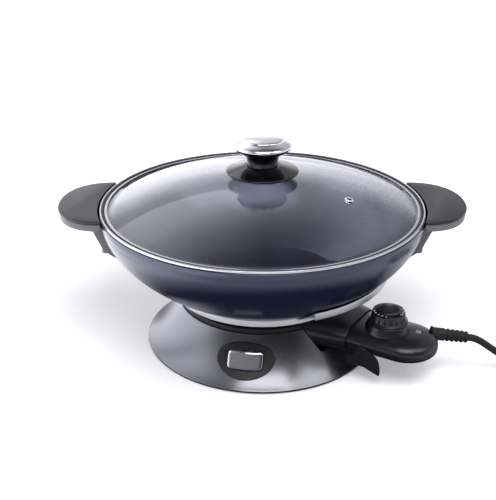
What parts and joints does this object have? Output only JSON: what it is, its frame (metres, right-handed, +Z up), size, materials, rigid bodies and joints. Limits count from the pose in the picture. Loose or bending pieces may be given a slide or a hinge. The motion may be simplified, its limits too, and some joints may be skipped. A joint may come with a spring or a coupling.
{
  "type": "electric wok",
  "caption": "Round electric wok with side grips, a domed glass lid with a knob, a flared base that the bowl lifts off, and a plug-in temperature probe with a dial, a release lever and a mains cord.",
  "frame": {"origin": "on the table, below the bowl's axis, at the middle of the base", "axes": "+Z up, the grips along X, the front with the release button and the probe towards -Y"},
  "size_m": [0.6023, 0.3428, 0.2301],
  "materials": {
    "bowl_coating": "satin navy non-stick coat on die-cast aluminium",
    "base_paint": "satin dark silver paint",
    "black_plastic": "satin moulded",
    "gloss_plastic": "polished moulded",
    "inner_plastic": "matte moulded",
    "steel": "brushed stainless",
    "chrome": "polished",
    "brass": "plain",
    "rubber": "matte",
    "ceramic": "unglazed steatite",
    "glass": "clear tempered",
    "lens": "clear moulded"
  },
  "bodies": {
    "base": {"base_skirt": "base_paint", "base_plate": "inner_plastic", "base_cradle": "black_plastic", "badge_plate": "black_plastic", "latch_spring": "steel", "foot_1": "rubber", "foot_2": "rubber", "foot_3": "rubber", "foot_4": "rubber"},
    "latch": {"release_button": "chrome", "latch_bar": "steel"},
    "bowl": {"wok_bowl": "bowl_coating", "housing_bolt": "steel", "element_housing": "black_plastic", "heating_element": "steel", "terminal_bush_left": "ceramic", "terminal_bush_right": "ceramic", "trim_ring": "steel", "heat_shield": "steel", "probe_shroud": "black_plastic", "right_grip_top": "black_plastic", "right_grip_body": "black_plastic", "right_grip_bracket": "inner_plastic", "right_grip_screw_1": "steel", "right_grip_screw_2": "steel", "left_grip_top": "black_plastic", "left_grip_body": "black_plastic", "left_grip_bracket": "inner_plastic", "left_grip_screw_1": "steel", "left_grip_screw_2": "steel"},
    "lid": {"lid_glass": "glass", "lid_band": "steel", "vent_eyelet": "steel", "knob_skirt": "gloss_plastic", "knob_stem": "gloss_plastic", "knob_cap": "chrome", "knob_washer": "rubber", "knob_screw": "steel"},
    "probe": {"probe_lower_shell": "black_plastic", "probe_upper_shell": "black_plastic", "dial_pedestal": "black_plastic", "thermostat_body": "ceramic", "sensor_rod": "steel", "contact_sleeve_left": "brass", "contact_sleeve_right": "brass", "indicator_lens": "lens", "lever_pin": "steel", "strain_relief": "rubber", "cord_lead": "rubber", "cord_coil": "rubber", "cord_tail": "rubber", "plug_body": "rubber", "plug_blade_live": "brass", "plug_blade_neutral": "brass", "plug_blade_earth": "brass"},
    "dial": {"dial_knob": "black_plastic", "dial_scale_ring": "gloss_plastic", "dial_crown": "inner_plastic", "dial_shaft": "brass"},
    "lever": {"release_lever": "inner_plastic"}
  },
  "joints": [
    {"name": "bowl_lift", "type": "slide", "parent": "base", "child": "bowl", "axis": [0, 0, 1], "range_m": [0, 0.12]},
    {"name": "lid_lift", "type": "slide", "parent": "bowl", "child": "lid", "axis": [0, 0, 1], "range_m": [0, 0.15]},
    {"name": "probe_slide", "type": "slide", "parent": "bowl", "child": "probe", "axis": [0.8572, -0.515, 0], "range_m": [0, 0.09]},
    {"name": "dial_turn", "type": "hinge", "parent": "probe", "child": "dial", "pos_m": [0.129, -0.07751, 0.0577], "axis": [0, 0, 1], "range_deg": [-280, 0]},
    {"name": "lever_pull", "type": "hinge", "parent": "probe", "child": "lever", "pos_m": [0.108, -0.06489, 0.0232], "axis": [-0.515, -0.8572, 0], "range_deg": [0, 25], "stiffness_Nm_per_rad": 0.06, "springref_deg": -14.32},
    {"name": "release_press", "type": "slide", "parent": "base", "child": "latch", "axis": [0.1702, 0.9854, 0], "range_m": [0, 0.004], "stiffness_N_per_m": 400, "springref_m": -0.006, "deforming": ["latch_spring"]}
  ]
}
